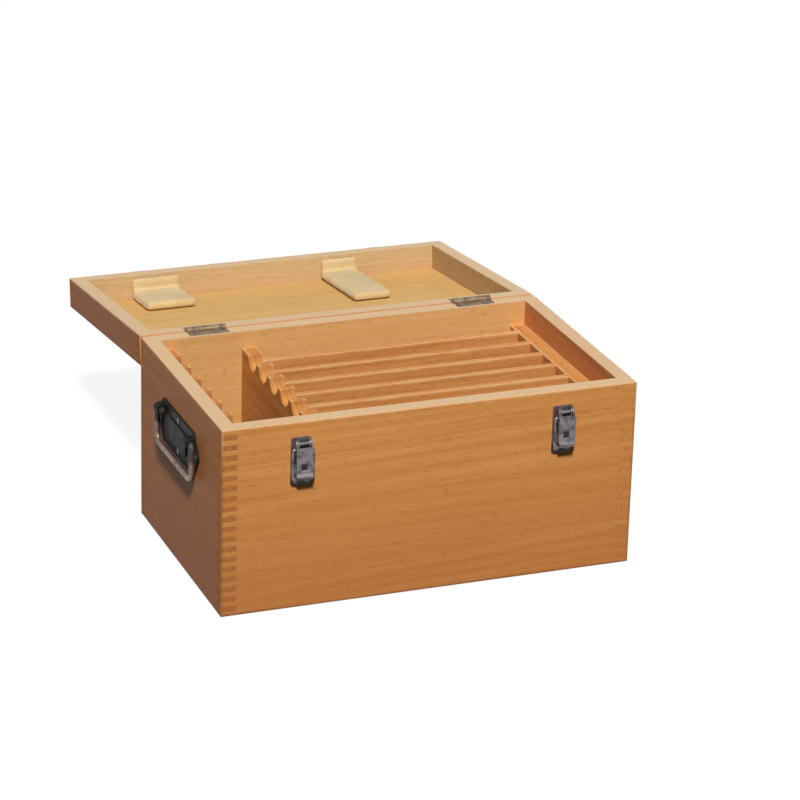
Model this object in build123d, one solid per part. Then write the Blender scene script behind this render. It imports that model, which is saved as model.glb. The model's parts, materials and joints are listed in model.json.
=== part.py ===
from build123d import *
import math
import os

# Wooden case for a set of six outside micrometers, in millimetres.
# The origin is the centre of the body's underside, +Z is up and the latches face -Y.
# The lid pieces are drawn shut and then turned back on the hinge line to where the lid lies open.

# Box
CASE_W = 328.0  # outside width, along X
CASE_D = 200.0  # outside depth, along Y
BODY_H = 148.0
LID_H = 24.5
WALL = 12.0
BASE_T = 6.0
LID_PANEL_T = 4.0
REBATE = 6.0  # how far the base and the lid panel reach into the walls
EDGE_R = 1.0  # rounding of the outside edges
RIM_GAP = 0.3  # between the two rims when shut
BODY_FINGERS = 37
LID_FINGERS = 7

# Hinges
HINGE_INSET = 53.0  # hinge centre from the case's end
HINGE_L = 32.0
HINGE_OFFSET = 1.5  # pin axis behind the back face
HINGE_KNUCKLE_R = 2.6
HINGE_PIN_R = 1.2
HINGE_LEAF_T = 1.5
HINGE_LEAF_REACH = 10.0
HINGE_SCREW_SPACING = 20.0
KNUCKLE_GAP = 0.3
KNUCKLE_RELIEF = 0.4
LID_STOP_SLACK_DEG = 0.8  # left before the lid's back meets the body's back
PIN_CLEARANCE = 0.05

# Latches
LATCH_INSET = 60.5  # latch centre from the case's end
LATCH_BASE_W = 16.0
LATCH_BASE_H = 38.0
LATCH_BASE_BELOW_RIM = 11.5
LATCH_CORNER_R = 2.0
LATCH_SHEET = 1.2
LATCH_PIVOT_OUT = 5.4  # lever pivot in front of the body's face
LATCH_PIVOT_DOWN = 3.5  # lever pivot below the base plate's top
LATCH_LOOP_DOWN = 4.2  # loop pivot below the lever pivot
LATCH_PIN_R = 1.2
LATCH_EAR_R = 3.0
LATCH_EAR_ROOT = (1.0, 8.0)  # ends of the ear's root below its pivot
LATCH_EAR_GAP = 0.3  # between the ears and the lever's flanges
LEVER_W = 12.6
LEVER_FRONT_OUT = 4.0  # lever's front face in front of its pivot
LEVER_TOP_DOWN = 2.0
LEVER_BEND_DOWN = 20.5
LEVER_FLANGE_R = 3.2
LEVER_FLANGE_DOWN = 16.0
LEVER_TAB_R = 4.0
LEVER_TAB_DEG = 62.0
LOOP_WIRE_R = 1.1
LOOP_SIDE_GAP = 0.5
LOOP_BEND_R = 1.7
LATCH_SCREW_RISE = 4.5
LATCH_SCREW_SPACING = 9.0

# Strikes on the lid
STRIKE_W = 11.6
STRIKE_H = 15.0
STRIKE_RISE = 1.3  # above the lid's rim
STRIKE_LIP_OUT = 5.2
STRIKE_TIP_H = 3.4
STRIKE_SCREW_SPACING = 6.0
STRIKE_SCREW_RISE = 10.5
LOOP_SEAT_GAP = 0.3

# Side handles
HANDLE_BELOW_RIM = 43.0
HANDLE_PLATE_L = 100.0
HANDLE_PLATE_H = 34.0
HANDLE_PLATE_T = 1.6
HANDLE_PLATE_TOP_L = 76.0
HANDLE_CORNER_R = 4.0
HANDLE_BOSS_H = 1.2
HANDLE_BOSS_L = 44.0
HANDLE_BOSS_W = 18.0
BAIL_WIRE_R = 2.3
BAIL_DROP = 28.5
BAIL_SPAN = 86.0  # between the centres of the two arms
BAIL_BEND_R = 8.0
BAIL_PIVOT_RISE = 9.0  # pivot above the plate's centre
BAIL_LUG_L = 9.0
BAIL_LUG_WALL = 1.6
BAIL_STANDOFF = 0.4  # bar in front of the plate
BAIL_SIDE_GAP = 0.4
HANDLE_SCREW_INSET = 5.5
HANDLE_SCREW_RISE = 12.5

# Racks and partitions inside
SLOT_COUNT = 6
SLOT_PITCH = 25.0
PARTITION_T = 5.0
PARTITION_TOP = 20.0  # below the rim
PARTITION_TENON = 3.0
LEFT_RACK_T = 12.0
LEFT_RACK_TOP = 8.0  # below the rim
LEFT_RACK_H = 60.0
CROSS_RACK_T = 12.0
THIMBLE_BAY = 54.0  # between the left rack and the cross rack
CROSS_RACK_TOP = 14.0  # below the rim
RIGHT_RACK_T = 12.0
NOTCH_R = 9.5
NOTCH_AXIS = 14.0  # below the rim

# Lid pads
PAD_T = 8.0
PAD_END_T = 5.0  # of the end that is turned along the front rail
PAD_END_DEPTH = 2.0  # below the lid's rim
LEFT_PAD_INSET = 37.0  # from the lid's inner wall
LEFT_PAD_W = 42.0
LEFT_PAD_LENGTH = 46.0
RIGHT_PAD_INSET = 69.0  # from the lid's inner wall
RIGHT_PAD_W = 33.0
RIGHT_PAD_LENGTH = 84.0

# Screws
SMALL_SCREW = {"head_r": 2.3, "shank_r": 1.2, "length": 9.0}
HINGE_SCREW = {"head_r": 2.6, "shank_r": 1.3, "length": 10.0}
SLOT_SHARE = 0.3  # driver slot's width and depth as shares of the head's radius

INSIDE_X = CASE_W / 2 - WALL
INSIDE_Y = CASE_D / 2 - WALL
HINGE_X = CASE_W / 2 - HINGE_INSET
LATCH_X = CASE_W / 2 - LATCH_INSET
LATCH_EAR_SPAN = LEVER_W - 2 * LATCH_SHEET - 2 * LATCH_EAR_GAP
HANDLE_Z = BODY_H - HANDLE_BELOW_RIM
BACK_Y = CASE_D / 2
FRONT_Y = -CASE_D / 2
LID_BOTTOM = BODY_H + RIM_GAP
LID_TOP = LID_BOTTOM + LID_H
HINGE_Y = BACK_Y + HINGE_OFFSET
HINGE_Z = BODY_H + RIM_GAP / 2
LID_OPEN_DEG = 180 + 2 * math.degrees(math.atan(HINGE_OFFSET / LID_H)) - LID_STOP_SLACK_DEG


def box(x, y, z):
    """A block between the low and high values given for each axis."""
    size = Box(x[1] - x[0], y[1] - y[0], z[1] - z[0], align=(Align.MIN, Align.MIN, Align.MIN))
    return Pos(x[0], y[0], z[0]) * size


def rod_x(radius, x, y, z):
    """A rod along X between two X values."""
    rod = Cylinder(radius, x[1] - x[0], align=(Align.CENTER, Align.CENTER, Align.MIN))
    return Pos(x[0], y, z) * Rot(0, 90, 0) * rod


def slab_xz(face, y):
    """A sketch drawn in X and Z, as thick as the two Y values are apart."""
    return Pos(0, y[1], 0) * extrude(Plane.XZ * face, y[1] - y[0])


def slab_yz(face, x):
    """A sketch drawn in Y and Z, as thick as the two X values are apart."""
    return Pos(x[0], 0, 0) * extrude(Plane.YZ * face, x[1] - x[0])


def opened(shape):
    """A piece of the shut lid, turned back to where the lid lies open."""
    return Pos(0, HINGE_Y, HINGE_Z) * Rot(-LID_OPEN_DEG, 0, 0) * Pos(0, -HINGE_Y, -HINGE_Z) * shape


def write(name, shape):
    export_step(shape, f"parts/{name}.step")


# Screws


def screw_blank(size):
    """Countersunk wood screw without its slot, head up, with the head's top at the origin."""
    cone_h = size["head_r"] - size["shank_r"]
    top = (Align.CENTER, Align.CENTER, Align.MAX)
    head = Cone(size["shank_r"], size["head_r"], cone_h, align=top)
    return head + Cylinder(size["shank_r"], size["length"], align=top)


def screw(size):
    slot = size["head_r"] * SLOT_SHARE
    groove = Box(4 * size["head_r"], slot, 2 * slot)
    return screw_blank(size) - groove


def driven(size, places, outward):
    """The screws at some places and the holes they need, as two lists."""
    planes = [Plane(origin=place, x_dir=turn, z_dir=outward) for place, turn in places]
    return [plane * screw(size) for plane in planes], [plane * screw_blank(size) for plane in planes]


def screw_pair(x, y, z, spacing):
    """Two places side by side along X, with their slots turned opposite ways."""
    return [((x + side * spacing / 2, y, z), (1, 0, side)) for side in (-1, 1)]


def less(shape, cuts):
    for cut in cuts:
        shape = shape - cut
    return shape


# Finger-jointed frames


def finger_face(length, height, count, takes_first):
    """A board's face with a comb of fingers at both ends."""
    pitch = height / count
    right = []
    for k in range(count):
        own = (k % 2 == 0) == takes_first
        end = length / 2 if own else length / 2 - WALL
        right += [(end, k * pitch), (end, (k + 1) * pitch)]
    left = [(-x, z) for x, z in reversed(right)]
    return make_face(Polyline(*right, *left, close=True))


def frame_boards(height, bottom, count):
    """Front, back, left and right boards of a frame, eased along the outside edges."""
    long_face = finger_face(CASE_W, height, count, True)
    short_face = finger_face(CASE_D, height, count, False)
    block = box((-CASE_W / 2, CASE_W / 2), (FRONT_Y, BACK_Y), (0, height))
    block = fillet(block.edges(), EDGE_R)
    boards = {
        "front": slab_xz(long_face, (FRONT_Y, FRONT_Y + WALL)),
        "back": slab_xz(long_face, (BACK_Y - WALL, BACK_Y)),
        "left": slab_yz(short_face, (-CASE_W / 2, -CASE_W / 2 + WALL)),
        "right": slab_yz(short_face, (CASE_W / 2 - WALL, CASE_W / 2)),
    }
    return {side: Pos(0, 0, bottom) * (board & block) for side, board in boards.items()}


def panel(bottom, thickness):
    x = INSIDE_X + REBATE
    y = INSIDE_Y + REBATE
    return box((-x, x), (-y, y), (bottom, bottom + thickness))


# Hinges


def hinge_parts(x):
    """Body leaf, shut lid leaf, pin, and what each frame must lose for them."""
    half = HINGE_L / 2
    knuckle = (HINGE_L - 2 * KNUCKLE_GAP) / 3
    middle = (-knuckle / 2, knuckle / 2)
    outer = [(-half, -half + knuckle), (half - knuckle, half)]
    ends = BACK_Y - HINGE_LEAF_REACH, HINGE_Y
    lower = box((-half, half), ends, (BODY_H - HINGE_LEAF_T, BODY_H))
    upper = box((-half, half), ends, (LID_BOTTOM, LID_BOTTOM + HINGE_LEAF_T))
    swept_r = HINGE_KNUCKLE_R + KNUCKLE_GAP
    clear_middle = rod_x(swept_r, (middle[0] - KNUCKLE_GAP, middle[1] + KNUCKLE_GAP), HINGE_Y, HINGE_Z)
    clear_outer = [
        rod_x(swept_r, (low - KNUCKLE_GAP, high + KNUCKLE_GAP), HINGE_Y, HINGE_Z) for low, high in outer
    ]
    bore = rod_x(HINGE_PIN_R + PIN_CLEARANCE, (-half, half), HINGE_Y, HINGE_Z)
    body_leaf = lower - clear_middle
    for span in outer:
        body_leaf += rod_x(HINGE_KNUCKLE_R, span, HINGE_Y, HINGE_Z)
    lid_leaf = less(upper, clear_outer) + rod_x(HINGE_KNUCKLE_R, middle, HINGE_Y, HINGE_Z)
    pin = rod_x(HINGE_PIN_R, (-half, half), HINGE_Y, HINGE_Z)
    relief_x = (-half - KNUCKLE_RELIEF, half + KNUCKLE_RELIEF)
    relief = rod_x(HINGE_KNUCKLE_R + KNUCKLE_RELIEF, relief_x, HINGE_Y, HINGE_Z)
    there = Pos(x, 0, 0)
    return {
        "body_leaf": there * (body_leaf - bore),
        "lid_leaf": there * (lid_leaf - bore),
        "pin": there * pin,
        "body_cuts": [there * lower, there * relief],
        "lid_cuts": [there * upper, there * relief],
    }


def hinge_screw_places(x, z):
    y = BACK_Y - HINGE_LEAF_REACH / 2 - HINGE_OFFSET / 2
    return [((x + side * HINGE_SCREW_SPACING / 2, y, z), (1, side, 0)) for side in (-1, 1)]


# Latches

LATCH_TOP = BODY_H - LATCH_BASE_BELOW_RIM
LEVER_Y = FRONT_Y - LATCH_PIVOT_OUT
LEVER_Z = LATCH_TOP - LATCH_PIVOT_DOWN
LOOP_Z = LEVER_Z - LATCH_LOOP_DOWN
LOOP_X = LEVER_W / 2 + LOOP_SIDE_GAP + LOOP_WIRE_R
STRIKE_BOTTOM = LID_BOTTOM + STRIKE_RISE
SEAT_Y = FRONT_Y - STRIKE_LIP_OUT / 2
SEAT_Z = STRIKE_BOTTOM + LATCH_SHEET + LOOP_SEAT_GAP + LOOP_WIRE_R
LOOP_L = math.hypot(SEAT_Y - LEVER_Y, SEAT_Z - LOOP_Z)


def disc(y, z, radius):
    return Pos(y, z) * Circle(radius)


def latch_base():
    """Screwed plate with two ears that carry the lever's pin."""
    centre_z = LATCH_TOP - LATCH_BASE_H / 2
    outline = Pos(0, centre_z) * RectangleRounded(LATCH_BASE_W, LATCH_BASE_H, LATCH_CORNER_R)
    plate = slab_xz(outline, (FRONT_Y - LATCH_SHEET, FRONT_Y))
    root_y = FRONT_Y - LATCH_SHEET / 2
    root = Line(*[(root_y, LEVER_Z - drop) for drop in LATCH_EAR_ROOT])
    knob = disc(LEVER_Y, LEVER_Z, LATCH_EAR_R)
    ear = make_hull(knob.edges() + root.edges())
    outer = LATCH_EAR_SPAN / 2
    plate += slab_yz(ear, (-outer, -outer + LATCH_SHEET))
    plate += slab_yz(ear, (outer - LATCH_SHEET, outer))
    return plate - rod_x(LATCH_PIN_R + PIN_CLEARANCE, (-LEVER_W, LEVER_W), LEVER_Y, LEVER_Z)


def latch_lever():
    """Channel that turns on the ears, with a finger tab curled outwards at its foot."""
    front = LEVER_Y - LEVER_FRONT_OUT
    rear = front + LATCH_SHEET
    top = LEVER_Z - LEVER_TOP_DOWN
    bend = LEVER_Z - LEVER_BEND_DOWN
    centre = Vector(front - LEVER_TAB_R, bend)
    angles = [math.radians(LEVER_TAB_DEG * share) for share in (0, 0.5, 1)]
    turns = [Vector(math.cos(angle), -math.sin(angle)) for angle in angles]
    outside = [centre + turn * LEVER_TAB_R for turn in turns]
    inside = [centre + turn * (LEVER_TAB_R + LATCH_SHEET) for turn in turns]
    outline = [
        Line((front, top), outside[0]),
        ThreePointArc(*outside),
        Line(outside[2], inside[2]),
        ThreePointArc(*reversed(inside)),
        Line(inside[0], (rear, top)),
        Line((rear, top), (front, top)),
    ]
    half = LEVER_W / 2
    lever = slab_yz(make_face(outline), (-half, half))
    edge = Line((front, top), (front, LEVER_Z - LEVER_FLANGE_DOWN))
    knobs = [disc(LEVER_Y, z, LEVER_FLANGE_R).edges()[0] for z in (LEVER_Z, LOOP_Z)]
    flange = make_hull(ShapeList([edge.edges()[0], *knobs]))
    lever += slab_yz(flange, (-half, -half + LATCH_SHEET))
    lever += slab_yz(flange, (half - LATCH_SHEET, half))
    lever -= rod_x(LATCH_PIN_R + PIN_CLEARANCE, (-half, half), LEVER_Y, LEVER_Z)
    return lever - rod_x(LOOP_WIRE_R + PIN_CLEARANCE, (-half, half), LEVER_Y, LOOP_Z)


def latch_loop():
    """Wire link hung in the lever's flanges, which reaches up over the strike's lip."""
    inner = LEVER_W / 2 - LATCH_SHEET
    corners = [(inner, 0), (LOOP_X, 0), (LOOP_X, -LOOP_L)]
    points = [(x, LEVER_Y, LOOP_Z + z) for x, z in corners]
    points += [(-x, LEVER_Y, LOOP_Z + z) for x, z in reversed(corners)]
    path = FilletPolyline(*points, radius=LOOP_BEND_R)
    start = Plane(origin=points[0], z_dir=(1, 0, 0))
    return sweep(start * Circle(LOOP_WIRE_R), path=path)


def strike():
    """Plate on the shut lid with an upturned lip for the loop."""
    half = STRIKE_W / 2
    tip_y = FRONT_Y - STRIKE_LIP_OUT
    plate = box((-half, half), (FRONT_Y - LATCH_SHEET, FRONT_Y), (STRIKE_BOTTOM, STRIKE_BOTTOM + STRIKE_H))
    lip = box((-half, half), (tip_y, FRONT_Y), (STRIKE_BOTTOM, STRIKE_BOTTOM + LATCH_SHEET))
    tip = box((-half, half), (tip_y, tip_y + LATCH_SHEET), (STRIKE_BOTTOM, STRIKE_BOTTOM + STRIKE_TIP_H))
    return plate + lip + tip


# Handles


def handle_plate(side):
    """Pressed plate with two lugs that carry the bail, on the side that the sign gives."""
    half_l = HANDLE_PLATE_L / 2
    half_h = HANDLE_PLATE_H / 2
    top = HANDLE_PLATE_TOP_L / 2
    corners = [(half_l, 0), (top, half_h), (-top, half_h), (-half_l, 0), (-top, -half_h), (top, -half_h)]
    outline = make_face(Polyline(*corners, close=True))
    outline = fillet(outline.vertices(), HANDLE_CORNER_R)
    face = Pos(0, HANDLE_Z) * outline
    boss = Pos(0, HANDLE_Z) * RectangleRounded(HANDLE_BOSS_L, HANDLE_BOSS_W, HANDLE_CORNER_R)
    plate = slab_yz(face, (0, HANDLE_PLATE_T)) + slab_yz(boss, (0, HANDLE_PLATE_T + HANDLE_BOSS_H))
    lug_r = BAIL_WIRE_R + BAIL_LUG_WALL
    pivot_out = HANDLE_PLATE_T + BAIL_STANDOFF + BAIL_WIRE_R
    pivot_z = HANDLE_Z + BAIL_PIVOT_RISE
    far = BAIL_SPAN / 2 - BAIL_WIRE_R - BAIL_SIDE_GAP
    from_low = (Align.CENTER, Align.CENTER, Align.MIN)
    for low in (-far, far - BAIL_LUG_L):
        along = Pos(pivot_out, low, pivot_z) * Rot(-90, 0, 0)
        foot = box((0, pivot_out), (low, low + BAIL_LUG_L), (pivot_z - lug_r, pivot_z + lug_r))
        bore = along * Cylinder(BAIL_WIRE_R + PIN_CLEARANCE, BAIL_LUG_L, align=from_low)
        plate += foot + along * Cylinder(lug_r, BAIL_LUG_L, align=from_low) - bore
    placed = Pos(CASE_W / 2, 0, 0) * plate
    return placed if side > 0 else mirror(placed, Plane.YZ)


BAIL_X = CASE_W / 2 + HANDLE_PLATE_T + BAIL_STANDOFF + BAIL_WIRE_R
BAIL_Z = HANDLE_Z + BAIL_PIVOT_RISE


def handle_bail(side):
    """Round bail with its ends turned in to the lugs, hanging down."""
    stub = BAIL_SPAN / 2 - BAIL_WIRE_R - BAIL_SIDE_GAP - BAIL_LUG_L
    corners = [(stub, 0), (BAIL_SPAN / 2, 0), (BAIL_SPAN / 2, -BAIL_DROP)]
    points = [(side * BAIL_X, y, BAIL_Z + z) for y, z in corners]
    points += [(side * BAIL_X, -y, BAIL_Z + z) for y, z in reversed(corners)]
    tight = BAIL_WIRE_R + BAIL_SIDE_GAP
    path = FilletPolyline(*points, radius=[tight, BAIL_BEND_R, BAIL_BEND_R, tight])
    start = Plane(origin=points[0], z_dir=(0, 1, 0))
    return sweep(start * Circle(BAIL_WIRE_R), path=path)


def handle_screw_places(side):
    x = side * (CASE_W / 2 + HANDLE_PLATE_T)
    y = HANDLE_PLATE_L / 2 - HANDLE_SCREW_INSET
    ends = [((x, sign * y, HANDLE_Z), (0, 1, 1)) for sign in (-1, 1)]
    middles = [((x, 0, HANDLE_Z + sign * HANDLE_SCREW_RISE), (0, 1, -1)) for sign in (-1, 1)]
    return ends + middles


# Racks and partitions

PARTITION_YS = [(k - SLOT_COUNT / 2) * SLOT_PITCH for k in range(SLOT_COUNT + 1)]
SLOT_YS = [(k - (SLOT_COUNT - 1) / 2) * SLOT_PITCH for k in range(SLOT_COUNT)]
PARTITION_TOP_Z = BODY_H - PARTITION_TOP
LEFT_RACK_X = (-INSIDE_X, -INSIDE_X + LEFT_RACK_T)
CROSS_RACK_X = (LEFT_RACK_X[1] + THIMBLE_BAY, LEFT_RACK_X[1] + THIMBLE_BAY + CROSS_RACK_T)
RIGHT_RACK_X = (INSIDE_X - RIGHT_RACK_T, INSIDE_X)


def notches(x):
    """What is cut from a rack for the six instruments to lie in."""
    axis_z = BODY_H - NOTCH_AXIS
    cuts = []
    for y in SLOT_YS:
        cuts.append(rod_x(NOTCH_R, x, y, axis_z))
        cuts.append(box(x, (y - NOTCH_R, y + NOTCH_R), (axis_z, BODY_H)))
    return cuts


def partition(y):
    x = (CROSS_RACK_X[1] - PARTITION_TENON, RIGHT_RACK_X[0] + PARTITION_TENON)
    return box(x, (y - PARTITION_T / 2, y + PARTITION_T / 2), (BASE_T, PARTITION_TOP_Z))


def rack(x, bottom, top):
    return box(x, (-INSIDE_Y, INSIDE_Y), (bottom, top))


# Lid pads


def lid_pad(x, length):
    """A felt pad under the shut lid's panel, its front end turned down along the front rail."""
    under_panel = LID_TOP - LID_PANEL_T
    flat = box(x, (-INSIDE_Y, -INSIDE_Y + length), (under_panel - PAD_T, under_panel))
    turned = box(x, (-INSIDE_Y, -INSIDE_Y + PAD_END_T), (LID_BOTTOM + PAD_END_DEPTH, under_panel))
    return flat + turned


# Making the pieces

os.makedirs("parts", exist_ok=True)

body = frame_boards(BODY_H, 0, BODY_FINGERS)
lid = frame_boards(LID_H, LID_BOTTOM, LID_FINGERS)
base_panel = panel(0, BASE_T)
lid_panel = panel(LID_TOP - LID_PANEL_T, LID_PANEL_T)
body = {side: board - base_panel for side, board in body.items()}
lid = {side: board - lid_panel for side, board in lid.items()}

for name, sign in (("left", -1), ("right", 1)):
    hinge = hinge_parts(sign * HINGE_X)
    body_screws, body_holes = driven(HINGE_SCREW, hinge_screw_places(sign * HINGE_X, BODY_H), (0, 0, 1))
    lid_screws, lid_holes = driven(HINGE_SCREW, hinge_screw_places(sign * HINGE_X, LID_BOTTOM), (0, 0, -1))
    body["back"] = less(body["back"], hinge["body_cuts"] + body_holes)
    lid["back"] = less(lid["back"], hinge["lid_cuts"] + lid_holes)
    write(f"hinge_{name}_body_leaf", less(hinge["body_leaf"], body_holes))
    write(f"hinge_{name}_lid_leaf", opened(less(hinge["lid_leaf"], lid_holes)))
    write(f"hinge_{name}_pin", hinge["pin"])
    write(f"hinge_{name}_body_screws", Compound(children=body_screws))
    write(f"hinge_{name}_lid_screws", opened(Compound(children=lid_screws)))

for name, sign in (("left", -1), ("right", 1)):
    there = Pos(sign * LATCH_X, 0, 0)
    foot_z = LATCH_TOP - LATCH_BASE_H + LATCH_SCREW_RISE
    face_y = FRONT_Y - LATCH_SHEET
    strike_z = STRIKE_BOTTOM + STRIKE_SCREW_RISE
    base_places = screw_pair(sign * LATCH_X, face_y, foot_z, LATCH_SCREW_SPACING)
    strike_places = screw_pair(sign * LATCH_X, face_y, strike_z, STRIKE_SCREW_SPACING)
    base_screws, base_holes = driven(SMALL_SCREW, base_places, (0, -1, 0))
    strike_screws, strike_holes = driven(SMALL_SCREW, strike_places, (0, -1, 0))
    body["front"] = less(body["front"], base_holes)
    lid["front"] = less(lid["front"], strike_holes)
    pin = rod_x(LATCH_PIN_R, (-LEVER_W / 2, LEVER_W / 2), LEVER_Y, LEVER_Z)
    write(f"latch_{name}_base", less(there * latch_base(), base_holes))
    write(f"latch_{name}_base_screws", Compound(children=base_screws))
    write(f"latch_{name}_pin", there * pin)
    write(f"latch_{name}_lever", there * latch_lever())
    write(f"latch_{name}_loop", there * latch_loop())
    write(f"latch_{name}_strike", opened(less(there * strike(), strike_holes)))
    write(f"latch_{name}_strike_screws", opened(Compound(children=strike_screws)))

for name, sign in (("left", -1), ("right", 1)):
    screws, holes = driven(SMALL_SCREW, handle_screw_places(sign), (sign, 0, 0))
    body[name] = less(body[name], holes)
    write(f"handle_{name}_plate", less(handle_plate(sign), holes))
    write(f"handle_{name}_bail", handle_bail(sign))
    write(f"handle_{name}_screws", Compound(children=screws))

left_rack_top = BODY_H - LEFT_RACK_TOP
left_rack = rack(LEFT_RACK_X, left_rack_top - LEFT_RACK_H, left_rack_top)
cross_rack = rack(CROSS_RACK_X, BASE_T, BODY_H - CROSS_RACK_TOP)
right_rack = rack(RIGHT_RACK_X, BASE_T, PARTITION_TOP_Z)
partitions = [partition(y) for y in PARTITION_YS]
write("rack_left", less(left_rack, notches(LEFT_RACK_X)))
write("rack_cross", less(cross_rack, notches(CROSS_RACK_X) + partitions))
write("rack_right", less(right_rack, partitions))
for number, shape in enumerate(partitions, 1):
    write(f"partition_{number}", shape)

for side, board in body.items():
    write(f"body_{side}_panel", board)
write("body_base_panel", base_panel)
for side, board in lid.items():
    write(f"lid_{side}_rail", opened(board))
write("lid_top_panel", opened(lid_panel))

left_pad_x = (-INSIDE_X + LEFT_PAD_INSET, -INSIDE_X + LEFT_PAD_INSET + LEFT_PAD_W)
right_pad_x = (INSIDE_X - RIGHT_PAD_INSET - RIGHT_PAD_W, INSIDE_X - RIGHT_PAD_INSET)
write("lid_pad_left", opened(lid_pad(left_pad_x, LEFT_PAD_LENGTH)))
write("lid_pad_right", opened(lid_pad(right_pad_x, RIGHT_PAD_LENGTH)))
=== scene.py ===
import json
import math

import bmesh
import bpy
from mathutils import Matrix, Vector


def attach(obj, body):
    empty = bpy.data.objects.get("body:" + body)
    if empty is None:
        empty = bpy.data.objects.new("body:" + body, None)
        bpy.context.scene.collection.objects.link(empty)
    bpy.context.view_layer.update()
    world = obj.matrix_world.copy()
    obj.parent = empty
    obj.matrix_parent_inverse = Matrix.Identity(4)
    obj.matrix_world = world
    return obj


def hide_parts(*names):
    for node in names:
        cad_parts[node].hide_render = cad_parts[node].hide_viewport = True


# A wooden case for a set of outside micrometers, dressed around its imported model, in metres.
# The front board faces -Y, the lid lies open behind the body, and each section below is one group of pieces.

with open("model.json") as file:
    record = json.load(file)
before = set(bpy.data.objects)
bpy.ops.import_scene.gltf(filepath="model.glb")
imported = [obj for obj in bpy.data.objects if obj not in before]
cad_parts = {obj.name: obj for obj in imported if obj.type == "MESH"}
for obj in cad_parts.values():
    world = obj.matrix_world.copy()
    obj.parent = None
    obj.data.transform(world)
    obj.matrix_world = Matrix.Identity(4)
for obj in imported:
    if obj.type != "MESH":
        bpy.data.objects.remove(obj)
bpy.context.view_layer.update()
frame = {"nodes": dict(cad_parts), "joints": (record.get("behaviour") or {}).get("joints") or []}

# Camera
# It stands about 2.7 m from the case, to the left of its front, and looks down on it through a long lens.
# It is rolled by less than two degrees, and its lens is shifted by a hair.

CAMERA_PLACE = (-0.8781, -2.2546, 1.0832)
CAMERA_AZIMUTH = math.radians(-21.58)
CAMERA_ELEVATION = math.radians(21.80)
CAMERA_ROLL = math.radians(1.63)
CAMERA_LENS = 153.6
CAMERA_SHIFT = (-0.0021, -0.0010)


def add(name, data):
    """Puts a new object in the scene."""
    made = bpy.data.objects.new(name, data)
    bpy.context.scene.collection.objects.link(made)
    return made


camera = add("camera", bpy.data.cameras.new("camera"))
aim = Matrix.Rotation(CAMERA_AZIMUTH, 3, "Z") @ Matrix.Rotation(math.pi / 2 - CAMERA_ELEVATION, 3, "X")
camera.rotation_euler = (aim @ Matrix.Rotation(CAMERA_ROLL, 3, "Z")).to_euler()
camera.location = CAMERA_PLACE
camera.data.lens = CAMERA_LENS
camera.data.shift_x, camera.data.shift_y = CAMERA_SHIFT
bpy.context.scene.camera = camera

# Floor, sky and lamps
# White paper lies under the case, below a white sky that gives more light from overhead. A key lamp high in
# front just grazes the case's left end, and a weaker, broader one stands low behind its right end.
# A finish is a tree of nodes that are added one by one, and sums on its sockets add the nodes for them.


class Wiring:
    """A node tree whose nodes are added one by one."""

    def __init__(self, tree):
        self.tree = tree
        self.tree.nodes.clear()

    def node(self, kind, settings=None, inputs=None, output=0):
        """Adds a node, its settings first and then its sockets' values or links, and gives one output."""
        made = self.tree.nodes.new(kind if "Node" in kind else "ShaderNode" + kind)
        for name, value in (settings or {}).items():
            setattr(made, name, value)
        for name, value in (inputs or {}).items():
            if isinstance(value, Wire):
                self.tree.links.new(value.socket, made.inputs[name])
            else:
                made.inputs[name].default_value = value
        return Wire(self, made.outputs[output]) if made.outputs else None

    def math(self, operation, *values):
        return self.node("Math", {"operation": operation}, dict(enumerate(values)))

    def mix(self, share, first, second):
        """A colour between two others. A Mix node takes colours at sockets 6 and 7, and gives one at 2."""
        return self.node("Mix", {"data_type": "RGBA"}, {0: share, 6: first, 7: second}, output=2)


class Finish(Wiring):
    """The nodes of a material, or of the sky."""

    def __init__(self, owner):
        owner.use_nodes = True
        super().__init__(owner.node_tree)
        self.owner = owner

    def end(self, shader):
        """Ends the finish in a shader."""
        kind = "OutputWorld" if isinstance(self.owner, bpy.types.World) else "OutputMaterial"
        self.node(kind, None, {"Surface": shader})
        return self.owner


class Wire:
    """A socket in a node tree, on which sums can be written."""

    def __init__(self, wiring, socket):
        self.wiring = wiring
        self.socket = socket

    def __add__(self, other):
        return self.wiring.math("ADD", self, other)

    def __sub__(self, other):
        return self.wiring.math("SUBTRACT", self, other)

    def __rsub__(self, other):
        return self.wiring.math("SUBTRACT", other, self)

    def __mul__(self, other):
        return self.wiring.math("MULTIPLY", self, other)

    def __truediv__(self, other):
        return self.wiring.math("DIVIDE", self, other)

    def __pow__(self, other):
        return self.wiring.math("POWER", self, other)

    def __abs__(self):
        return self.wiring.math("ABSOLUTE", self)

    __radd__ = __add__
    __rmul__ = __mul__

    def rise(self, low, high):
        """0 under low, 1 over high and smooth between."""
        inputs = {"Value": self, "From Min": low, "From Max": high}
        return self.wiring.node("MapRange", {"interpolation_type": "SMOOTHSTEP"}, inputs)


def paint(red, green, blue):
    """A colour in the 0 to 255 steps of a paint chart, taken off the sRGB curve as the shaders need it."""
    steps = [value / 255 for value in (red, green, blue)]
    return (*[s / 12.92 if s <= 0.04045 else ((s + 0.055) / 1.055) ** 2.4 for s in steps], 1.0)


def seen(finish):
    """1 for what is seen directly, in gloss or through glass, and 0 for light on its way to a surface."""
    direct, gloss, through = [
        finish.node("LightPath", output=f"Is {kind} Ray") for kind in ("Camera", "Glossy", "Transmission")
    ]
    return finish.math("MINIMUM", direct + gloss + through, 1.0)


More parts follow.
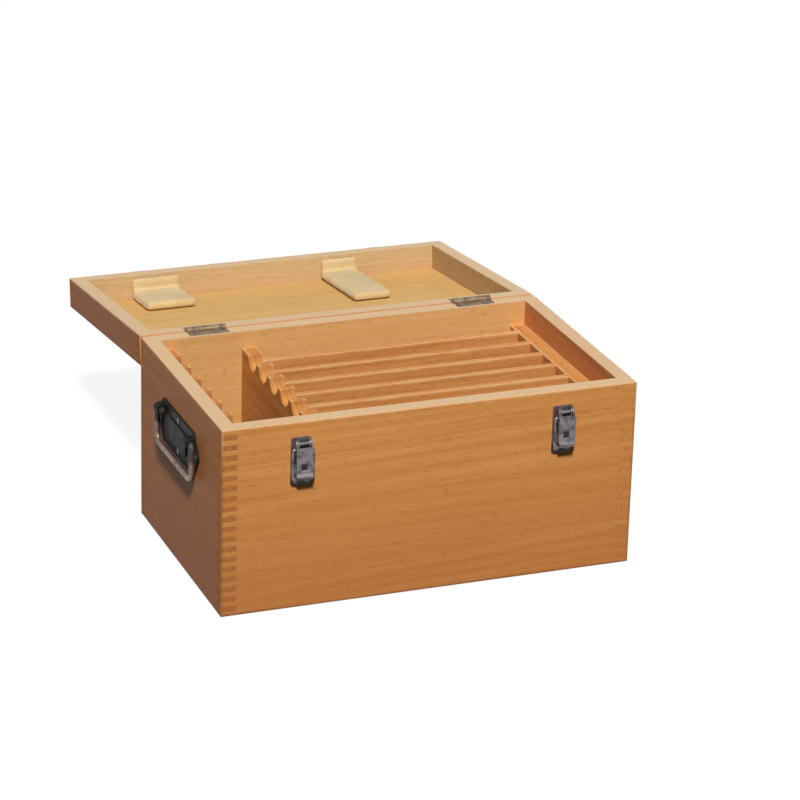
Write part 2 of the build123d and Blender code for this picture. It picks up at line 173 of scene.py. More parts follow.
WHITE = paint(255, 255, 255)
SKY_LIGHT = 0.025  # at the horizon, while the sky itself shows as plain white
SKY_RISE = 0.12  # more of it straight overhead
FLOOR_SIDE = 12.0
FLOOR_DROP = 0.0002
FLOOR_GLOW = 0.90  # how much of the floor's white stays where the case shades it
FLOOR_PALE = paint(74, 73, 76)  # for the light that it throws back on the case
LAMPS = {  # where each lamp stands, its strength and its breadth in degrees
    "key": ((-0.215, -0.61, 0.765), 4.1, 6),
    "back": ((0.60, 0.80, 0.03), 1.6, 12),
}

sky = Finish(bpy.data.worlds.new("sky"))
height = sky.node("SeparateXYZ", None, {0: sky.node("TexCoord", output="Generated")}, output="Z")
sky_light = SKY_LIGHT + height.rise(0, 1) * SKY_RISE
sky_strength = sky_light + seen(sky) * (1 - sky_light)
bpy.context.scene.world = sky.end(sky.node("Background", None, {"Color": WHITE, "Strength": sky_strength}))

paper = Finish(bpy.data.materials.new("paper"))
lit = paper.node("BsdfDiffuse", None, {"Color": paper.mix(seen(paper), FLOOR_PALE, WHITE)})
glow = paper.node("Emission", None, {"Color": WHITE, "Strength": 1.0})
paper.end(paper.node("MixShader", None, {0: seen(paper) * FLOOR_GLOW, 1: lit, 2: glow}))

floor_mesh = bpy.data.meshes.new("floor")
half = FLOOR_SIDE / 2
floor_corners = [(-half, -half), (half, -half), (half, half), (-half, half)]
floor_mesh.from_pydata([(x, y, -FLOOR_DROP) for x, y in floor_corners], [], [(0, 1, 2, 3)])
floor_mesh.materials.append(paper.owner)
add("floor", floor_mesh)

for name, (place, strength, breadth) in LAMPS.items():
    lamp = add(name, bpy.data.lights.new(name, "SUN"))
    lamp.data.energy = strength
    lamp.data.angle = math.radians(breadth)
    lamp.rotation_euler = Vector(place).to_track_quat("Z", "Y").to_euler()
bpy.context.scene.view_settings.view_transform = "Standard"

# Boards of the body and the lid
# Solid boards of a pale, straight-grained hardwood, their ends cut into combs and glued together, so that
# each corner shows the end grain of every other finger. The outside has satin varnish, rubbed off along the
# rims and darker along the corners below them, and the inside is left bare. Painted shade darkens the boards
# towards the foot and along the foot's edge, and gives the left end's boards and the body's right inner wall
# darker tones.

BOARD_EASE = 0.00022  # how far the sharp edges of a board are rubbed down
SHORTEST_EASED = 0.002  # edges under this, round the screw holes, stay as cut
EASE_STEPS = 2
ROUND_PROFILE = 0.5
FLAT_ANGLE = math.radians(0.5)
SHARP_ANGLE = math.radians(28)
SMALLEST_GAP = 2e-6
FLATTEN_WEIGHT = 100  # keeps the shading of broad faces flat up to their eased edges

lid_hinge = next(joint for joint in frame["joints"] if joint["name"] == "lid_hinge")
LID_TURN = math.radians(lid_hinge["range_deg"][1])
X_LINE = Vector((1, 0, 0))
Y_LINE = Vector((0, 1, 0))
Z_LINE = Vector((0, 0, 1))
LID_Y_LINE = Matrix.Rotation(-LID_TURN, 3, "X") @ Y_LINE
LID_Z_LINE = Matrix.Rotation(-LID_TURN, 3, "X") @ Z_LINE


def merged(node):
    """A node's shape, its loose triangles joined into closed skins."""
    shape = bmesh.new()
    shape.from_mesh(frame["nodes"][node].data)
    bmesh.ops.remove_doubles(shape, verts=shape.verts, dist=SMALLEST_GAP)
    return shape


def skin(node):
    """A node's shape as closed skins, with its flat faces whole."""
    shape = merged(node)
    bmesh.ops.dissolve_limit(shape, angle_limit=FLAT_ANGLE, verts=shape.verts, edges=shape.edges)
    return shape


def ease(shape, width, shortest):
    """Rounds over the long sharp edges of a shape."""
    edges = [edge for edge in shape.edges if edge.is_manifold and edge.calc_length() > shortest]
    sharp = [edge for edge in edges if abs(edge.calc_face_angle_signed()) > SHARP_ANGLE]
    bmesh.ops.bevel(
        shape,
        geom=sharp,
        offset=width,
        segments=EASE_STEPS,
        profile=ROUND_PROFILE,
        affect="EDGES",
        clamp_overlap=False,
    )


def worked(piece):
    """A piece's mesh as its modifiers leave it."""
    bpy.context.view_layer.update()
    return bpy.data.meshes.new_from_object(piece.evaluated_get(bpy.context.evaluated_depsgraph_get()))


def show(name, shape, finish, body, node):
    """Makes a shape a piece of a body, in place of a node. A mesh that has its finish keeps it."""
    mesh = shape
    if isinstance(shape, bmesh.types.BMesh):
        mesh = bpy.data.meshes.new(name)
        shape.to_mesh(mesh)
        shape.free()
    mesh.shade_smooth()
    mesh.set_sharp_from_angle(angle=SHARP_ANGLE)
    if not mesh.materials:
        mesh.materials.append(finish)
    piece = add(name, mesh)
    flatten = piece.modifiers.new("flatten", "WEIGHTED_NORMAL")
    flatten.keep_sharp = True
    flatten.weight = FLATTEN_WEIGHT
    piece.data = worked(piece)
    piece.data.name = name
    piece.modifiers.clear()
    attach(piece, body)
    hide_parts(node)
    return piece


def reach(nodes, lines):
    """The middle of some nodes and their half size, measured along some lines."""
    points = [vertex.co for node in nodes for vertex in frame["nodes"][node].data.vertices]
    spans = [[point.dot(line) for point in points] for line in lines]
    ends = [(min(span), max(span)) for span in spans]
    return [(low + high) / 2 for low, high in ends], [(high - low) / 2 for low, high in ends]


CASE_TONES = {
    "pale": paint(215, 151, 84),
    "dark": paint(197, 129, 66),
    "pore": paint(134, 76, 34),
    # the painted shade towards the foot
    "foot_shade": paint(164, 94, 56),
    "end": paint(178, 114, 56),
    "end_dark": paint(152, 92, 44),
    "worn": paint(206, 177, 141),
    "bare_pale": paint(216, 168, 110),
    "bare_dark": paint(206, 154, 92),
}
# Painted shade: darker, redder tones for the left end's boards, which the key lamp only grazes.
LEFT_END_SHADE = {"pale": paint(192, 126, 75), "dark": paint(174, 108, 62)}
BODY_TONES = {
    "front": CASE_TONES,
    "back": CASE_TONES,
    "left": CASE_TONES | LEFT_END_SHADE,
    # Painted shade: darker, redder bare tones for the body's right inner wall.
    "right": CASE_TONES | {"bare_pale": paint(210, 144, 92), "bare_dark": paint(190, 120, 72)},
}
LID_BARE = {"bare_pale": paint(214, 195, 150), "bare_dark": paint(204, 178, 128)}
LID_TONES = {side: tones | LID_BARE for side, tones in BODY_TONES.items()}

GRAIN = {  # how far each feature of the wood runs along its grain and across it
    "bend": (0.45, 0.09),
    "streaks": (0.16, 0.0045),
    "fibres": (0.012, 0.00045),
    "pores": (0.008, 0.00055),
    "clouds": (0.12, 0.05),
    "rubbing": (0.02, 0.02),
}
RING_WIDTH = 0.0026
RING_BEND = 0.010
PITH_LEAN = 0.035  # metres sideways for each metre of length
NOISE_MIDDLE = 0.5
BANDS_RISE = (0.30, 0.72)
BANDS_SHARE = 0.5
STREAKS_RISE = (0.30, 0.70)
STREAKS_SHARE = 0.35
CLOUDS_RISE = (0.3, 0.7)
CLOUDS_SHARE = 0.25
PORES_RISE = (0.60, 0.72)
PORES_SHARE = 0.45
FIBRES_RISE = (0.45, 0.85)
FIBRES_SHARE = 0.25
END_RISE = (0.5, 0.8)  # how squarely a face cuts the grain before it counts as end grain
END_BANDS_RISE = (0.35, 0.65)
END_SHARE = 0.20
RUBBED_WIDTH = (0.0008, 0.0034)
RUBBED_RAGGED = 0.002
GRAIN_BUMP = {"Strength": 0.35, "Distance": 0.0001}
FIBRES_HEIGHT = 0.5  # beside the pores' depth of 1
WOOD_ROUGHNESS = 0.40
PORES_ROUGHER = 0.2
END_ROUGHER = 0.2
CLOUDS_ROUGHER = 0.08
END_SOAKS = 0.8  # how much of the varnish sinks into end grain
COAT_ROUGHNESS = 0.2
SHEEN_LEVEL = 0.02
VARNISH_COAT = 0.04


def noise(finish, place, detail=2.0, scale=1.0):
    """Soft noise, mostly between 0.3 and 0.7."""
    return finish.node("TexNoise", None, {"Vector": place, "Scale": scale, "Detail": detail})


def measure(finish, spot, line):
    """How far a spot lies along a line."""
    return finish.node("VectorMath", {"operation": "DOT_PRODUCT"}, {0: spot, 1: line}, output="Value")


def surface(finish, sockets):
    """Ends a finish in a solid surface."""
    return finish.end(finish.node("BsdfPrincipled", None, sockets))


class Timber(Finish):
    """Solid wood with its grain along the first of three lines, in a block or a box of some nodes.
    Pith is where the tree's middle lay, along the other two lines."""

    def __init__(self, name, lines, pith, nodes):
        super().__init__(bpy.data.materials.new(name))
        place = self.node("TexCoord", output="Object")
        normal = self.node("TexCoord", output="Normal")
        self.spots = [measure(self, place, line) for line in lines]
        along, across, through = self.spots
        bend = (self.pattern("bend") - NOISE_MIDDLE) * RING_BEND
        side = across - pith[0] - along * PITH_LEAN + bend
        depth = through - pith[1] + bend
        rings = (side * side + depth * depth) ** 0.5 / RING_WIDTH
        inputs = {"W": rings, "Scale": 1.0, "Detail": 2.0}
        self.bands = self.node("TexNoise", {"noise_dimensions": "1D"}, inputs)
        self.streaks = self.pattern("streaks")
        self.fibres = self.pattern("fibres", detail=3.0)
        self.pores = self.pattern("pores", detail=1.0).rise(*PORES_RISE)
        self.clouds = self.pattern("clouds")
        self.end_grain = abs(measure(self, normal, lines[0])).rise(*END_RISE)
        self.middle, self.half_size = reach(nodes, lines)
        spans = zip(self.spots, self.middle, self.half_size)
        self.gaps = [size - abs(spot - centre) for spot, centre, size in spans]

    def pattern(self, feature, detail=2.0):
        """Noise drawn out along the grain."""
        along, across, through = self.spots
        stretch, width = GRAIN[feature]
        inputs = {"X": along / stretch, "Y": across / width, "Z": through / width}
        return noise(self, self.node("CombineXYZ", None, inputs), detail)

    def figure(self, pale, dark, tones):
        """The wood's colour, from its rings, streaks and clouds to its pores, fibres and end grain."""
        tone = self.bands.rise(*BANDS_RISE) * BANDS_SHARE
        tone = tone + self.streaks.rise(*STREAKS_RISE) * STREAKS_SHARE
        tone = tone + self.clouds.rise(*CLOUDS_RISE) * CLOUDS_SHARE
        colour = self.mix(tone, pale, dark)
        colour = self.mix(self.pores * PORES_SHARE, colour, tones["pore"])
        colour = self.mix(self.fibres.rise(*FIBRES_RISE) * FIBRES_SHARE, colour, dark)
        end_colour = self.mix(self.bands.rise(*END_BANDS_RISE), tones["end"], tones["end_dark"])
        return self.mix(self.end_grain * END_SHARE, colour, end_colour)

    def corner(self):
        """How far a spot lies from the block's nearest edge, as the sum of the two smaller gaps."""
        gaps = self.gaps
        widest = self.math("MAXIMUM", self.math("MAXIMUM", gaps[0], gaps[1]), gaps[2])
        return gaps[0] + gaps[1] + gaps[2] - widest

    def rubbed(self, corner):
        """1 along the block's edges, with a ragged border."""
        return 1 - (corner + self.pattern("rubbing") * RUBBED_RAGGED).rise(*RUBBED_WIDTH)

    def planed(self, colour, varnish):
        """Ends the wood in a planed face, which may be varnished."""
        relief = self.fibres * FIBRES_HEIGHT - self.pores
        roughness = WOOD_ROUGHNESS + self.pores * PORES_ROUGHER + self.end_grain * END_ROUGHER
        sockets = {
            "Base Color": colour,
            "Roughness": roughness + self.clouds * CLOUDS_ROUGHER,
            "Coat Weight": (1 - self.end_grain * END_SOAKS) * varnish if varnish else 0.0,
            "Coat Roughness": COAT_ROUGHNESS,
            "Specular IOR Level": SHEEN_LEVEL,
            "Normal": self.node("Bump", None, {"Height": relief} | GRAIN_BUMP),
        }
        return surface(self, sockets)


BARE_DEPTH = (0.0003, 0.0010)  # how far in from the outside the varnish gives way to bare wood
BARE_RAGGED = 0.0004
BARE_SOAKS = 0.7  # how much of the varnish is missing there
# Painted shade: the boards darken towards the foot, as light falling off downward would make them.
FOOT_SHADE_REACH = 0.15  # up from the foot
FOOT_SHADE_RAGGED = 0.04
FOOT_SHADE_SHARE = 0.42
RIM_DEPTH = (0.0003, 0.0008)
RIM_SHARE = 0.8  # how far the rim has gone to the worn tone
BELOW_RIM = (0.004, 0.030)  # where the wear of the rim's corners fades out
EDGES_WORN = 0.45
EDGE_WEAR = 0.15  # how much of it stays further down
# The edges below the rims are darker, and the edge along the foot carries a painted contact shade.
DARK_EDGE_WIDTH = (0.0008, 0.0042)
DARK_EDGE_RAGGED = 0.002
DARK_ON_CORNERS = 0.8
CONTACT_SHADE_HEIGHT = (0.001, 0.004)
CONTACT_SHADE = 0.5
DARKENED_SHARE = 0.6


def box_wood(name, tones, lines, pith, boards, closed_side):
    """The wood of a box half, closed at the low (-1) or the high (1) end of the second line."""
    wood = Timber(name, lines, pith, boards)
    foot = wood.half_size[1] - (wood.spots[1] - wood.middle[1]) * closed_side
    outside = wood.math("MINIMUM", wood.math("MINIMUM", wood.gaps[0], wood.gaps[2]), foot)
    bare = (outside + wood.streaks * BARE_RAGGED).rise(*BARE_DEPTH)
    pale = wood.mix(bare, tones["pale"], tones["bare_pale"])
    dark = wood.mix(bare, tones["dark"], tones["bare_dark"])
    colour = wood.figure(pale, dark, tones)

    # Painted shade that deepens towards the foot.
    foot_shade = 1 - (foot + wood.clouds * FOOT_SHADE_RAGGED).rise(0.0, FOOT_SHADE_REACH)
    colour = wood.mix(foot_shade * FOOT_SHADE_SHARE, colour, tones["foot_shade"])

    rim_gap = wood.half_size[1] * 2 - foot
    rim = 1 - rim_gap.rise(*RIM_DEPTH)
    lower = rim_gap.rise(*BELOW_RIM)
    corner = wood.corner()
    rubbed = wood.rubbed(corner) * (1 - lower * (1 - EDGE_WEAR))
    rubbed = wood.math("MAXIMUM", rubbed, rim * bare * (RIM_SHARE / EDGES_WORN))
    colour = wood.mix(rubbed * EDGES_WORN, colour, tones["worn"])

    # Darker along the edges below the rim, and a painted contact shade along the foot's edge.
    darkened = 1 - (corner + wood.clouds * DARK_EDGE_RAGGED).rise(*DARK_EDGE_WIDTH)
    darkened = darkened * (lower * DARK_ON_CORNERS + (1 - foot.rise(*CONTACT_SHADE_HEIGHT)) * CONTACT_SHADE)
    colour = wood.mix(darkened * DARKENED_SHARE, colour, tones["pore"])
    return wood.planed(colour, (1 - bare * BARE_SOAKS) * VARNISH_COAT)


BODY_BOARDS = [f"body_{side}_panel" for side in ("front", "back", "left", "right")]
LID_BOARDS = [f"lid_{side}_rail" for side in ("front", "back", "left", "right")]
BODY_LINES = {"front": (X_LINE, Z_LINE, Y_LINE), "left": (Y_LINE, Z_LINE, X_LINE)}
LID_LINES = {"front": (X_LINE, LID_Z_LINE, LID_Y_LINE), "left": (LID_Y_LINE, LID_Z_LINE, X_LINE)}
ALIKE = {"front": "front", "back": "front", "left": "left", "right": "left"}
PITHS = {"front": (0.062, 0.055), "back": (0.095, 0.240), "left": (0.080, -0.035), "right": (0.050, 0.290)}

for side, like in ALIKE.items():
    for body, node, lines, boards, tones, closed_side in (
        ("case_body", f"body_{side}_panel", BODY_LINES[like], BODY_BOARDS, BODY_TONES[side], -1),
        ("lid", f"lid_{side}_rail", LID_LINES[like], LID_BOARDS, LID_TONES[side], 1),
    ):
        board = skin(node)
        ease(board, BOARD_EASE, SHORTEST_EASED)
        board_wood = box_wood(f"{node}_wood", tones, lines, PITHS[side], boards, closed_side)
        show(f"{node}_board", board, board_wood, body, node)

# Base and lid panels
# Thin varnished plywood with a paler, broader figure than the boards, let into rebates all round.
# The base also carries the racks, and the lid's panel carries the two pads.

PANEL_TONES = {
    "pale": paint(214, 174, 112),
    "dark": paint(198, 154, 92),
    "pore": paint(160, 114, 66),
    "end": paint(180, 132, 84),
    "end_dark": paint(150, 104, 62),
}
PANEL_PITH = (0.03, -0.30)
LID_AXES = (X_LINE, LID_Y_LINE, LID_Z_LINE)

for body, node, lines in (
    ("case_body", "body_base_panel", (X_LINE, Y_LINE, Z_LINE)),
    ("lid", "lid_top_panel", LID_AXES),
):
    panel = skin(node)
    ease(panel, BOARD_EASE, SHORTEST_EASED)
    wood = Timber(f"{node}_wood", lines, PANEL_PITH, [node])
    colour = wood.figure(PANEL_TONES["pale"], PANEL_TONES["dark"], PANEL_TONES)
    show(f"{node}_sheet", panel, wood.planed(colour, VARNISH_COAT), body, node)

# Racks and partitions
# Planed hardwood a shade redder than the case, left without varnish. The racks run across the case, two with
# a round notch for each instrument, and the partitions between the slots are tenoned into the racks.

RACK_TONES = {
    "pale": paint(208, 146, 84),
    "dark": paint(182, 116, 60),
    "pore": paint(128, 76, 40),
    "end": paint(166, 110, 66),
    "end_dark": paint(130, 80, 46),
    "worn": paint(228, 190, 138),
}
RACK_EASE = 0.0004
RACK_WORN = 0.6
RACK_PITH = (0.05, -0.42)
PARTITION_PITH = (0.02, -0.31)

racks = ["rack_left", "rack_cross", "rack_right"]
partitions = sorted(name for name in frame["nodes"] if name.startswith("partition_"))
for nodes, lines, pith in (
    (racks, (Y_LINE, Z_LINE, X_LINE), RACK_PITH),
    (partitions, (X_LINE, Z_LINE, Y_LINE), PARTITION_PITH),
):
    for node in nodes:
        fitting = skin(node)
        ease(fitting, RACK_EASE, SHORTEST_EASED)
        wood = Timber(f"{node}_wood", lines, pith, [node])
        colour = wood.figure(RACK_TONES["pale"], RACK_TONES["dark"], RACK_TONES)
        colour = wood.mix(wood.rubbed(wood.corner()) * RACK_WORN, colour, RACK_TONES["worn"])
        show(f"{node}_wood", fitting, wood.planed(colour, varnish=0), "case_body", node)

# Lid pads
# Two thick felt pads glued inside the lid, each with its end turned against the front rail. They hold the
# instruments down in the shut case. The felt is soft along its edges, and dented where a slot comes under it.

PAD_VOXEL = 0.002
PAD_SHRINK = 0.0006  # room for the pad to swell in
PAD_THICK = 0.008
PAD_PRESSURE = 4.0
PAD_FRAMES = 20
PAD_SWELL_LIMIT = 0.0009
DENT_DEPTH = 0.0008
DENT_WIDTH = 0.0035
DENT_FADE = 4  # the higher, the nearer to the pad's sides a dent stays deep
FELT_PALE = paint(209, 184, 135)
FELT_DARK = paint(195, 167, 117)
FELT_CLOUDS = 0.020
FELT_FLECKS = 0.0012
FELT_FUZZ = 0.0004
FELT_RISE = (0.3, 0.7)
FLECKS_HEIGHT = 0.6  # beside the fuzz's height of 1
FELT_BUMP = {"Strength": 0.6, "Distance": 0.0004}


def felt():
    """Pressed wool felt: flecked, fuzzy and dull."""
    finish = Finish(bpy.data.materials.new("felt"))
    place = finish.node("TexCoord", output="Object")
    clouds = noise(finish, place, scale=1 / FELT_CLOUDS)
    flecks = noise(finish, place, detail=3.0, scale=1 / FELT_FLECKS)
    fuzz = noise(finish, place, detail=4.0, scale=1 / FELT_FUZZ)
    tone = (clouds.rise(*FELT_RISE) + flecks.rise(*FELT_RISE)) / 2
    sockets = {
        "Base Color": finish.mix(tone, FELT_PALE, FELT_DARK),
        "Roughness": 0.95,
        "Specular IOR Level": 0.2,
        "Sheen Weight": 0.35,
        "Sheen Roughness": 0.5,
        "Normal": finish.node("Bump", None, {"Height": fuzz + flecks * FLECKS_HEIGHT} | FELT_BUMP),
    }
    return surface(finish, sockets)


def pad_block(name, node):
    """A pad's block, a little smaller all round and evenly meshed."""
    block = skin(node)
    block.normal_update()
    shrunk = [vertex.co - vertex.normal * vertex.calc_shell_factor() * PAD_SHRINK for vertex in block.verts]
    for vertex, spot in zip(block.verts, shrunk):
        vertex.co = spot
    mesh = bpy.data.meshes.new(name)
    block.to_mesh(mesh)
    block.free()
    pad = add(name, mesh)
    remesh = pad.modifiers.new("remesh", "REMESH")
    remesh.mode = "VOXEL"
    remesh.voxel_size = PAD_VOXEL
    pad.data = worked(pad)
    pad.modifiers.clear()
    return pad


def swell(pad, glued):
    """Swells a pad like a cushion, apart from the points that are glued."""
    glue = pad.vertex_groups.new(name="glue")
    glue.add(glued, 1.0, "REPLACE")
    cloth = pad.modifiers.new("cloth", "CLOTH")
    cloth.settings.vertex_group_mass = "glue"
    cloth.settings.use_pressure = True
    cloth.settings.uniform_pressure_force = PAD_PRESSURE
    cloth.settings.effector_weights.gravity = 0
    for moment in range(1, PAD_FRAMES + 1):
        bpy.context.scene.frame_set(moment)
    swollen = worked(pad)
    pad.modifiers.clear()
    pad.vertex_groups.clear()
    pad.data = swollen
    bpy.context.scene.frame_set(1)


felt_finish = felt()
fences = sorted(reach([node], [Y_LINE])[0][0] for node in partitions)
hinge_place = Vector(lid_hinge["pos_m"])
shut_to_open = hinge_place.dot(LID_Y_LINE) - hinge_place.y  # from a place in the body to one along the lid
dents = [(near + far) / 2 + shut_to_open for near, far in zip(fences, fences[1:])]

for side in ("left", "right"):
    node = f"lid_pad_{side}"
    middle, half_size = reach([node], LID_AXES)
    panel_side = middle[2] + half_size[2] - PAD_SHRINK
    rail_side = middle[1] - half_size[1] + PAD_SHRINK
    pad = pad_block(f"pad_{side}", node)
    still = [vertex.co.copy() for vertex in pad.data.vertices]
    on_panel = [spot.dot(LID_Z_LINE) > panel_side - PAD_VOXEL / 2 for spot in still]
    on_rail = [spot.dot(LID_Y_LINE) < rail_side + PAD_VOXEL / 2 for spot in still]
    swell(pad, [k for k, held in enumerate(zip(on_panel, on_rail)) if any(held)])
    for vertex, rest in zip(pad.data.vertices, still):
        swelling = vertex.co - rest
        if swelling.length > PAD_SWELL_LIMIT:
            vertex.co = rest + swelling.normalized() * PAD_SWELL_LIMIT
        height = (panel_side - rest.dot(LID_Z_LINE)) / PAD_THICK
        along = rest.dot(LID_Y_LINE)
        inward = 1 - abs((rest.x - middle[0]) / half_size[0]) ** DENT_FADE
        dent = sum(math.exp(-(((along - place) / DENT_WIDTH) ** 2)) for place in dents)
        vertex.co += LID_Z_LINE * DENT_DEPTH * dent * inward * max(height, 0) ** 2
    smooth = pad.modifiers.new("smooth", "SUBSURF")
    smooth.levels = smooth.render_levels = 1
    finished = worked(pad)
    bpy.data.objects.remove(pad)
    pad = show(f"felt_pad_{side}", finished, felt_finish, "lid", node)

# Hinges
# Two steel butt hinges let into the back rims. Each has a leaf with two knuckles on the body, a leaf with one
# knuckle on the lid, and a pin through all three, in dull plate that has browned with age.

HINGE_PALE = paint(140, 118, 94)
HINGE_DARK = paint(78, 58, 42)
HINGE_ROUGHNESS = 0.50
METAL_EASE = 0.00018
WHOLE_EDGES = 0.0  # the shortest edge that is eased, so all of them are
TARNISH_CLOUDS = (0.006, 0.006, 0.006)
TARNISH_SPECKS = (0.0009, 0.0009, 0.0009)
UPRIGHT_SCRATCHES = (0.0003, 0.0003, 0.012)
LEVEL_SCRATCHES = (0.010, 0.010, 0.00028)
TARNISH_RISE = (0.42, 0.68)
SPECKS_RISE = (0.60, 0.72)
SPECKS_SHARE = 0.4
UPRIGHT_RISE = (0.62, 0.70)
LEVEL_RISE = (0.64, 0.72)
DARKENED_WAVE = 0.002
SCRATCH_BUMP = {"Strength": 0.15, "Distance": 0.00005}
PLATE_METALLIC = 0.8
STAIN_DULLS = 0.4
STAIN_ROUGHER = 0.22
SCRATCHES_ROUGHER = 0.08


def plate(name, pale, dark, roughness, tarnish, darkened=None):
    """Plated metal, clouded by tarnish and finely scratched. Darkened gives a line, the place along it from
    which the plate is clear, and the place short of which a painted shade on it is full."""
    finish = Finish(bpy.data.materials.new(name))
    place = finish.node("TexCoord", output="Object")

    def pattern(sizes, detail=2.0):
        scale = [1 / size for size in sizes]
        return noise(finish, finish.node("Mapping", None, {"Vector": place, "Scale": scale}), detail)

    clouds = pattern(TARNISH_CLOUDS, detail=4.0).rise(*TARNISH_RISE)
    specks = pattern(TARNISH_SPECKS).rise(*SPECKS_RISE)
    scratches = pattern(UPRIGHT_SCRATCHES).rise(*UPRIGHT_RISE) + pattern(LEVEL_SCRATCHES).rise(*LEVEL_RISE)
    stain_and_shade = clouds * tarnish + specks * tarnish * SPECKS_SHARE
    # Painted shade: the plate darkens short of a place along the line, as under or behind a part.
    if darkened:
        line, unshaded_at, shaded_at = darkened
        stain_and_shade = stain_and_shade + (1 - (measure(finish, place, line) + clouds * DARKENED_WAVE).rise(shaded_at, unshaded_at))
    stain_and_shade = finish.math("MINIMUM", stain_and_shade, 1.0)
    sockets = {
        "Base Color": finish.mix(stain_and_shade, pale, dark),
        "Metallic": PLATE_METALLIC - stain_and_shade * STAIN_DULLS,
        "Roughness": roughness + stain_and_shade * STAIN_ROUGHER + scratches * SCRATCHES_ROUGHER,
        "Normal": finish.node("Bump", None, {"Height": scratches} | SCRATCH_BUMP),
    }
    return surface(finish, sockets)


def dress(node, finish, body, width=METAL_EASE):
    """Shows a node's own shape with eased edges."""
    shape = skin(node)
    ease(shape, width, WHOLE_EDGES)
    show(f"{node}_part", shape, finish, body, node)


hinge_plate = plate("hinge_plate", HINGE_PALE, HINGE_DARK, HINGE_ROUGHNESS, tarnish=0.8)
for side in ("left", "right"):
    dress(f"hinge_{side}_body_leaf", hinge_plate, "case_body")
    dress(f"hinge_{side}_lid_leaf", hinge_plate, "lid")
    dress(f"hinge_{side}_pin", hinge_plate, "case_body")

# Latches
# Draw latches pressed from nickel-plated sheet. A base with two ears is screwed to the body, a lever with a
# curled tab turns on a pin between the ears, and its wire loop draws the lid's strike down. Painted shade
# darkens the base's foot under the lever's tab and the floor of the lever's pressed panel.

NICKEL_PALE = paint(128, 122, 124)
NICKEL_DARK = paint(52, 44, 44)
# The darkest tone is a painted shade on the floor of the lever's pressed panel.
NICKEL_RECESS_SHADE = paint(34, 30, 30)
NICKEL_TARNISH = 0.75
NICKEL_ROUGHNESS = 0.36
FOOT_SHADED_ROUGHNESS = 0.40
RECESS_SHADE_ROUGHNESS = 0.50
# Painted shade: the base's foot turns dark below this height, under the lever's tab.
NICKEL_FOOT_SHADE = (Z_LINE, 0.110, 0.1055)  # the base's foot, under the lever's tab
STAMP_HALF_WIDTH = 0.0028
STAMP_LOW = 0.0004
STAMP_HIGH = 0.0063
STAMP_SLOPE = 0.0006
STAMP_DEPTH = 0.0006
SQUARELY = 0.99  # the cosine at which a face looks straight outward

nickel = plate("nickel", NICKEL_PALE, NICKEL_DARK, NICKEL_ROUGHNESS, NICKEL_TARNISH)
foot_shaded_nickel = plate(
    "foot_shaded_nickel", NICKEL_PALE, NICKEL_DARK, FOOT_SHADED_ROUGHNESS, NICKEL_TARNISH, darkened=NICKEL_FOOT_SHADE
)
recess_shaded_nickel = plate("recess_shaded_nickel", NICKEL_DARK, NICKEL_RECESS_SHADE, RECESS_SHADE_ROUGHNESS, tarnish=1.0)


def stamp(shape, outward):
    """Presses a shallow panel into the lower part of the broadest face that looks outward, and gives its
    floor the second finish, a painted shade.
    """
    shape.normal_update()
    outer = [face for face in shape.faces if face.normal.dot(outward) > SQUARELY]
    face = max(outer, key=lambda face: face.calc_area())
    middle = face.calc_center_bounds()
    bottom = min(vertex.co.z for vertex in face.verts)
    cell = [face]
    for line, place in (
        (X_LINE, middle.x - STAMP_HALF_WIDTH),
        (X_LINE, middle.x + STAMP_HALF_WIDTH),
        (Z_LINE, bottom + STAMP_LOW),
        (Z_LINE, bottom + STAMP_HIGH),
    ):
        parts = {part for face in cell for part in (face, *face.edges, *face.verts)}
        cut = bmesh.ops.bisect_plane(shape, geom=list(parts), plane_co=line * place, plane_no=line)
        cell = [part for part in cut["geom"] if isinstance(part, bmesh.types.BMFace)]
    spot = Vector((middle.x, 0, bottom + (STAMP_LOW + STAMP_HIGH) / 2))
    face = min(cell, key=lambda face: (face.calc_center_bounds() - spot).xz.length)
    bmesh.ops.inset_region(shape, faces=[face], thickness=STAMP_SLOPE, depth=-STAMP_DEPTH)
    # Painted shade: the panel's floor is dark, as a window through the lever would look.
    face.material_index = 1


for side in ("left", "right"):
    dress(f"latch_{side}_base", foot_shaded_nickel, "case_body")
    dress(f"latch_{side}_pin", nickel, "case_body")
    node = f"latch_{side}_lever"
    lever = skin(node)
    stamp(lever, -Y_LINE)
    ease(lever, METAL_EASE, WHOLE_EDGES)
    piece = show(f"{node}_part", lever, nickel, node, node)
    piece.data.materials.append(recess_shaded_nickel)
    dress(f"latch_{side}_loop", nickel, f"latch_{side}_loop")
    dress(f"latch_{side}_strike", nickel, "lid")

# Handles
# A six-sided plate pressed from sheet steel, enamelled dark green-grey, with a raised boss and two lugs.
# A nickel-plated bail, with painted shade on its arms near the lugs, hangs in the lugs, and four screws hold
# the plate to the case.

ENAMEL_PALE = paint(28, 32, 28)
ENAMEL_DARK = paint(14, 16, 14)
ENAMEL_EASE = 0.0004
ENAMEL_CLOUDS = 0.012
ENAMEL_PEEL = 0.0012
ENAMEL_RISE = (0.35, 0.70)
ENAMEL_ROUGHNESS = 0.42
DUST_ROUGHER = 0.15
ENAMEL_SHEEN = 0.06
PEEL_BUMP = {"Strength": 0.12, "Distance": 0.0001}


